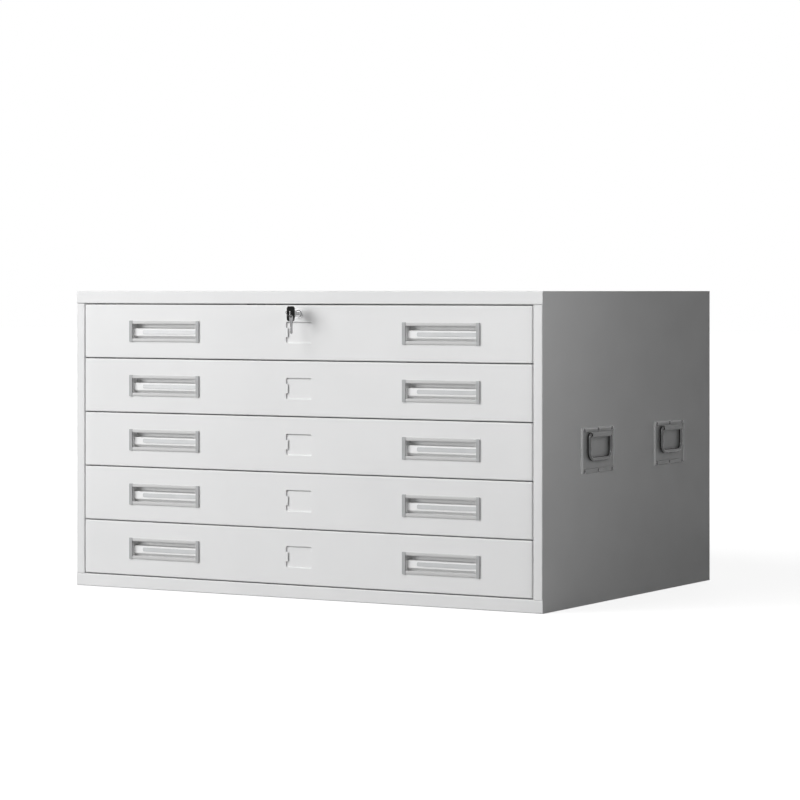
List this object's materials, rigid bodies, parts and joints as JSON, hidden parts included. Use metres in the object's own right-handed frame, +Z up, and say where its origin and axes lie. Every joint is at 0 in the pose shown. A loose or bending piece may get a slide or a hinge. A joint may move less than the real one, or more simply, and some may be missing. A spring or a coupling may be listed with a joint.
{
  "type": "plan chest",
  "caption": "Low sheet-steel chest of wide shallow flush drawers for flat plans, with recessed pulls, label pockets, a cam lock with its keys, and hinged lift handles on its sides.",
  "frame": {"origin": "middle of the carcass at its underside, on the floor", "axes": "+Z up, drawer fronts face -Y, +X to the right seen from the front"},
  "size_m": [1.0206, 0.7435, 0.56],
  "materials": {
    "carcass_paint": "satin",
    "drawer_paint": "satin",
    "tray_paint": "satin",
    "runner_steel": "zinc plated",
    "pull_metal": "satin",
    "cap_plastic": "matte",
    "strip_plastic": "clear",
    "lock_chrome": "polished",
    "key_metal": "nickel plated",
    "key_plastic": "matte",
    "handle_metal": "zinc plated"
  },
  "bodies": {
    "carcass": {"side_panel_left": "carcass_paint", "side_panel_right": "carcass_paint", "top_panel": "carcass_paint", "bottom_panel": "carcass_paint", "back_panel": "carcass_paint", "runner_posts": "runner_steel", "outer_runners_left": "runner_steel", "outer_runners_right": "runner_steel", "handle_plates_left": "handle_metal", "handle_plates_right": "handle_metal", "bail_straps": "handle_metal", "handle_rivets": "handle_metal"},
    "drawer_1": {"drawer_1_front": "drawer_paint", "drawer_1_tray": "tray_paint", "drawer_1_pulls": "pull_metal", "drawer_1_pull_caps": "cap_plastic", "drawer_1_label_strips": "strip_plastic", "drawer_1_inner_runners": "runner_steel", "lock_barrel": "lock_chrome", "lock_nut": "runner_steel"},
    "middle_runners_1": {"drawer_1_middle_runners": "runner_steel"},
    "drawer_2": {"drawer_2_front": "drawer_paint", "drawer_2_tray": "tray_paint", "drawer_2_pulls": "pull_metal", "drawer_2_pull_caps": "cap_plastic", "drawer_2_label_strips": "strip_plastic", "drawer_2_inner_runners": "runner_steel"},
    "middle_runners_2": {"drawer_2_middle_runners": "runner_steel"},
    "drawer_3": {"drawer_3_front": "drawer_paint", "drawer_3_tray": "tray_paint", "drawer_3_pulls": "pull_metal", "drawer_3_pull_caps": "cap_plastic", "drawer_3_label_strips": "strip_plastic", "drawer_3_inner_runners": "runner_steel"},
    "middle_runners_3": {"drawer_3_middle_runners": "runner_steel"},
    "drawer_4": {"drawer_4_front": "drawer_paint", "drawer_4_tray": "tray_paint", "drawer_4_pulls": "pull_metal", "drawer_4_pull_caps": "cap_plastic", "drawer_4_label_strips": "strip_plastic", "drawer_4_inner_runners": "runner_steel"},
    "middle_runners_4": {"drawer_4_middle_runners": "runner_steel"},
    "drawer_5": {"drawer_5_front": "drawer_paint", "drawer_5_tray": "tray_paint", "drawer_5_pulls": "pull_metal", "drawer_5_pull_caps": "cap_plastic", "drawer_5_label_strips": "strip_plastic", "drawer_5_inner_runners": "runner_steel"},
    "middle_runners_5": {"drawer_5_middle_runners": "runner_steel"},
    "lock_plug": {"lock_plug": "lock_chrome", "lock_cam": "runner_steel", "key_blade": "key_metal", "key_head": "key_plastic"},
    "spare_key": {"key_ring": "key_metal", "spare_key": "key_metal"},
    "bail_left_front": {"bail_left_front": "handle_metal"},
    "bail_left_rear": {"bail_left_rear": "handle_metal"},
    "bail_right_front": {"bail_right_front": "handle_metal"},
    "bail_right_rear": {"bail_right_rear": "handle_metal"}
  },
  "joints": [
    {"name": "drawer_1_slide", "type": "slide", "parent": "carcass", "child": "drawer_1", "axis": [0, -1, 0], "range_m": [0, 0.56]},
    {"name": "middle_runners_1_slide", "type": "slide", "parent": "carcass", "child": "middle_runners_1", "axis": [0, -1, 0], "range_m": [0, 0.28]},
    {"name": "drawer_2_slide", "type": "slide", "parent": "carcass", "child": "drawer_2", "axis": [0, -1, 0], "range_m": [0, 0.56]},
    {"name": "middle_runners_2_slide", "type": "slide", "parent": "carcass", "child": "middle_runners_2", "axis": [0, -1, 0], "range_m": [0, 0.28]},
    {"name": "drawer_3_slide", "type": "slide", "parent": "carcass", "child": "drawer_3", "axis": [0, -1, 0], "range_m": [0, 0.56]},
    {"name": "middle_runners_3_slide", "type": "slide", "parent": "carcass", "child": "middle_runners_3", "axis": [0, -1, 0], "range_m": [0, 0.28]},
    {"name": "drawer_4_slide", "type": "slide", "parent": "carcass", "child": "drawer_4", "axis": [0, -1, 0], "range_m": [0, 0.56]},
    {"name": "middle_runners_4_slide", "type": "slide", "parent": "carcass", "child": "middle_runners_4", "axis": [0, -1, 0], "range_m": [0, 0.28]},
    {"name": "drawer_5_slide", "type": "slide", "parent": "carcass", "child": "drawer_5", "axis": [0, -1, 0], "range_m": [0, 0.56]},
    {"name": "middle_runners_5_slide", "type": "slide", "parent": "carcass", "child": "middle_runners_5", "axis": [0, -1, 0], "range_m": [0, 0.28]},
    {"name": "lock_turn", "type": "hinge", "parent": "drawer_1", "child": "lock_plug", "pos_m": [0, -0.35, 0.519], "axis": [0, 1, 0], "range_deg": [0, 90]},
    {"name": "spare_key_swing", "type": "hinge", "parent": "drawer_1", "child": "spare_key", "pos_m": [0, -0.386, 0.52], "axis": [0, -1, 0], "range_deg": [0, 10]},
    {"name": "bail_left_front_swing", "type": "hinge", "parent": "carcass", "child": "bail_left_front", "pos_m": [-0.5053, -0.138, 0.3033], "axis": [0, 1, 0], "range_deg": [0, 90]},
    {"name": "bail_left_rear_swing", "type": "hinge", "parent": "carcass", "child": "bail_left_rear", "pos_m": [-0.5053, 0.162, 0.3033], "axis": [0, 1, 0], "range_deg": [0, 90]},
    {"name": "bail_right_front_swing", "type": "hinge", "parent": "carcass", "child": "bail_right_front", "pos_m": [0.5053, -0.138, 0.3033], "axis": [0, -1, 0], "range_deg": [0, 90]},
    {"name": "bail_right_rear_swing", "type": "hinge", "parent": "carcass", "child": "bail_right_rear", "pos_m": [0.5053, 0.162, 0.3033], "axis": [0, -1, 0], "range_deg": [0, 90]}
  ],
  "couplings": [
    {"joint": "middle_runners_1_slide", "follows": "drawer_1_slide", "ratio": 0.5},
    {"joint": "middle_runners_2_slide", "follows": "drawer_2_slide", "ratio": 0.5},
    {"joint": "middle_runners_3_slide", "follows": "drawer_3_slide", "ratio": 0.5},
    {"joint": "middle_runners_4_slide", "follows": "drawer_4_slide", "ratio": 0.5},
    {"joint": "middle_runners_5_slide", "follows": "drawer_5_slide", "ratio": 0.5}
  ]
}
